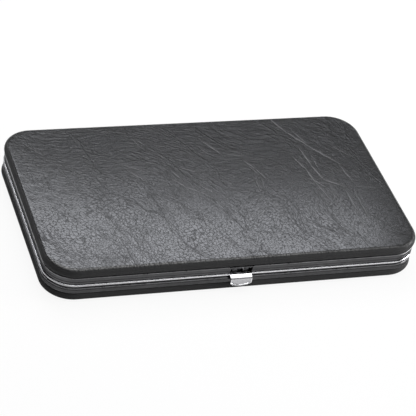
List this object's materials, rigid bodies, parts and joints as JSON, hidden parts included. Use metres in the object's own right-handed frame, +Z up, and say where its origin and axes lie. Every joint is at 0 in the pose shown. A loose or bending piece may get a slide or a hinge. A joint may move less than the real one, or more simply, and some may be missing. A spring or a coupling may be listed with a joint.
{
  "type": "manicure set case",
  "caption": "Flat framed manicure case in padded leather: hinged lid, sprung lift tab, and scissors, tweezers, nail file and cuticle pusher held by elastic inside.",
  "frame": {"origin": "middle of the case's outline, on the flat underside that it rests on", "axes": "+Z up through the closed case, +X along the long side, -Y towards the lift tab, +Y towards the hinges"},
  "size_m": [0.1412, 0.0838, 0.0141],
  "materials": {
    "leather": "grained, semi-matt black",
    "black_lacquer": "satin black lacquer",
    "nickel": "polished nickel plate",
    "steel": "satin",
    "instrument_steel": "polished",
    "file_steel": "fine grit",
    "handle_plastic": "gloss",
    "lining": "short-pile lining cloth",
    "elastic": "woven elastic",
    "padding": "foam sheet",
    "board": "pressed board"
  },
  "bodies": {
    "base": {"lower_cover": "leather", "lower_padding": "padding", "lower_board": "board", "lower_frame": "black_lacquer", "mouth_rim": "nickel", "lower_lining": "lining", "left_hinge_base_leaf": "steel", "right_hinge_base_leaf": "steel", "left_hinge_pin": "steel", "right_hinge_pin": "steel", "base_leaf_rivets": "steel", "left_elastic_band": "elastic", "right_elastic_band": "elastic", "tweezers_lower_arm": "instrument_steel", "file_blade": "file_steel", "file_handle": "handle_plastic", "cuticle_pusher": "instrument_steel"},
    "lid": {"upper_cover": "leather", "upper_padding": "padding", "upper_board": "board", "upper_frame": "black_lacquer", "upper_trim": "black_lacquer", "upper_lining": "lining", "left_hinge_lid_leaf": "steel", "right_hinge_lid_leaf": "steel", "lid_leaf_rivets": "steel", "latch_pin": "steel", "latch_bracket": "steel", "latch_spring": "steel", "latch_rivets": "steel", "scissors_loops": "elastic", "scissors_fixed_half": "instrument_steel", "scissors_screw": "instrument_steel"},
    "latch": {"latch_lever": "nickel"},
    "scissors_half": {"scissors_moving_half": "instrument_steel"},
    "tweezers_arm": {"tweezers_upper_arm": "instrument_steel"}
  },
  "joints": [
    {"name": "lid_hinge", "type": "hinge", "parent": "base", "child": "lid", "pos_m": [0, 0.041, 0.0069], "axis": [-1, 0, 0], "range_deg": [0, 179]},
    {"name": "latch_lift", "type": "hinge", "parent": "lid", "child": "latch", "pos_m": [0, -0.0385, 0.0091], "axis": [-1, 0, 0], "range_deg": [0, 35], "stiffness_Nm_per_rad": 0.015, "springref_deg": -17.19},
    {"name": "scissors_pivot", "type": "hinge", "parent": "lid", "child": "scissors_half", "pos_m": [-0.008, -0.01, 0.0087], "axis": [0, 0, 1], "range_deg": [0, 32]},
    {"name": "tweezers_squeeze", "type": "hinge", "parent": "base", "child": "tweezers_arm", "pos_m": [0.03495, 0.02, 0.00365], "axis": [0, -1, 0], "range_deg": [0, 1.2], "stiffness_Nm_per_rad": 0.8}
  ]
}
